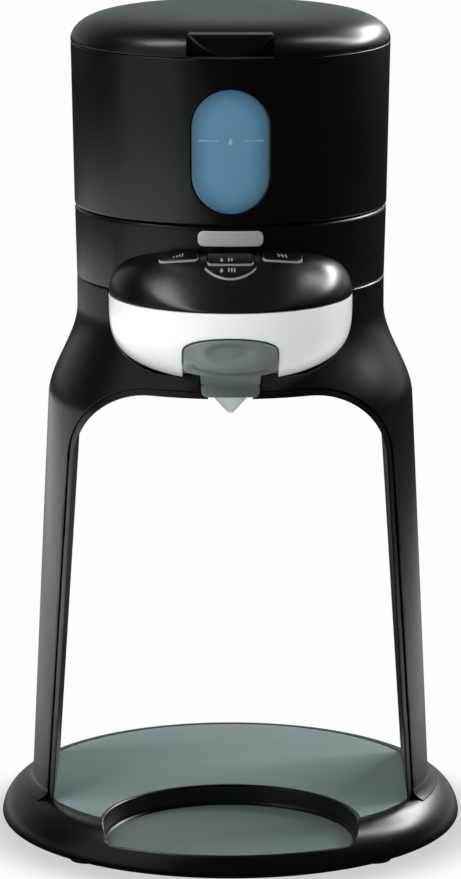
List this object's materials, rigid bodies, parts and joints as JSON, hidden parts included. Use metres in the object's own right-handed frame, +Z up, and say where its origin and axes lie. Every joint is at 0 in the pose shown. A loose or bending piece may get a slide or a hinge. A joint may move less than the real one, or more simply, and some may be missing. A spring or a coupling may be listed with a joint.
{
  "type": "formula dispenser",
  "caption": "Countertop baby formula dispenser with an arched body over a bottle bay, a sliding powder drawer, push buttons and a lift-off water tank.",
  "frame": {"origin": "centre of the base, at floor level", "axes": "+Z up, front faces -Y, +X to the right seen from the front"},
  "size_m": [0.1858, 0.192, 0.3316],
  "materials": {
    "black_plastic": "semi-gloss moulded",
    "dark_plastic": "fine matt moulded",
    "deck_plastic": "matt, fine grain",
    "white_plastic": "gloss",
    "grey_plastic": "satin",
    "nozzle_plastic": "translucent satin",
    "cup_plastic": "translucent satin",
    "tank_plastic": "clear, blue tint",
    "foot_rubber": "matt",
    "seal_rubber": "matt silicone",
    "hose_rubber": "translucent silicone",
    "cord_rubber": "matt",
    "steel": "zinc plated",
    "badge_metal": "satin silver",
    "board": "solder mask",
    "switch_plastic": "moulded",
    "pump_metal": "cast",
    "heater_metal": "cast",
    "ceramic": "matt"
  },
  "bodies": {
    "body": {"base_plate": "dark_plastic", "base_cover": "black_plastic", "base_deck": "deck_plastic", "rubber_feet": "foot_rubber", "base_screws": "steel", "leg_screws": "steel", "arch_shell": "black_plastic", "arch_liner": "black_plastic", "housing_screws": "steel", "body_collar": "black_plastic", "badge_plate": "badge_metal", "head_cover": "black_plastic", "head_floor": "dark_plastic", "drawer_rails": "dark_plastic", "control_board": "board", "tact_switches": "switch_plastic", "power_board": "board", "pump": "pump_metal", "pump_bushes": "foot_rubber", "heater_block": "heater_metal", "thermostat": "ceramic", "inlet_hose": "hose_rubber", "pump_hose": "hose_rubber", "outlet_hose": "hose_rubber", "water_outlet": "cup_plastic", "cord_grommet": "cord_rubber", "mains_cord": "cord_rubber", "tank_dock": "dark_plastic", "valve_socket": "dark_plastic", "socket_seal": "seal_rubber"},
    "tank": {"tank_shell": "black_plastic", "tank_vessel": "tank_plastic", "hinge_pin": "steel", "valve_housing": "cup_plastic", "valve_seal": "seal_rubber", "valve_spring": "steel"},
    "valve": {"valve_plunger": "ceramic"},
    "lid": {"lid_cover": "black_plastic", "lid_liner": "seal_rubber"},
    "drawer": {"drawer_bowl": "white_plastic", "powder_cup": "cup_plastic", "mixing_screen": "steel", "drawer_handle": "grey_plastic", "outlet_nozzle": "nozzle_plastic"},
    "left_button": {"button_left": "black_plastic"},
    "right_button": {"button_right": "black_plastic"},
    "upper_button": {"button_upper": "black_plastic"},
    "lower_button": {"button_lower": "black_plastic"}
  },
  "joints": [
    {"name": "drawer_slide", "type": "slide", "parent": "body", "child": "drawer", "axis": [0, -1, 0], "range_m": [0, 0.1]},
    {"name": "tank_lift", "type": "slide", "parent": "body", "child": "tank", "axis": [0, 0, 1], "range_m": [0, 0.1]},
    {"name": "lid_hinge", "type": "hinge", "parent": "tank", "child": "lid", "pos_m": [0, 0.0666, 0.3198], "axis": [-1, 0, 0], "range_deg": [0, 100]},
    {"name": "valve_lift", "type": "slide", "parent": "tank", "child": "valve", "axis": [0, 0, 1], "range_m": [0, 0.003], "deforming": ["valve_spring"]},
    {"name": "left_press", "type": "slide", "parent": "body", "child": "left_button", "axis": [0, 0, -1], "range_m": [0, 0.0008]},
    {"name": "right_press", "type": "slide", "parent": "body", "child": "right_button", "axis": [0, 0, -1], "range_m": [0, 0.0008]},
    {"name": "upper_press", "type": "slide", "parent": "body", "child": "upper_button", "axis": [0, 0, -1], "range_m": [0, 0.0008]},
    {"name": "lower_press", "type": "slide", "parent": "body", "child": "lower_button", "axis": [0, 0, -1], "range_m": [0, 0.0008]}
  ]
}
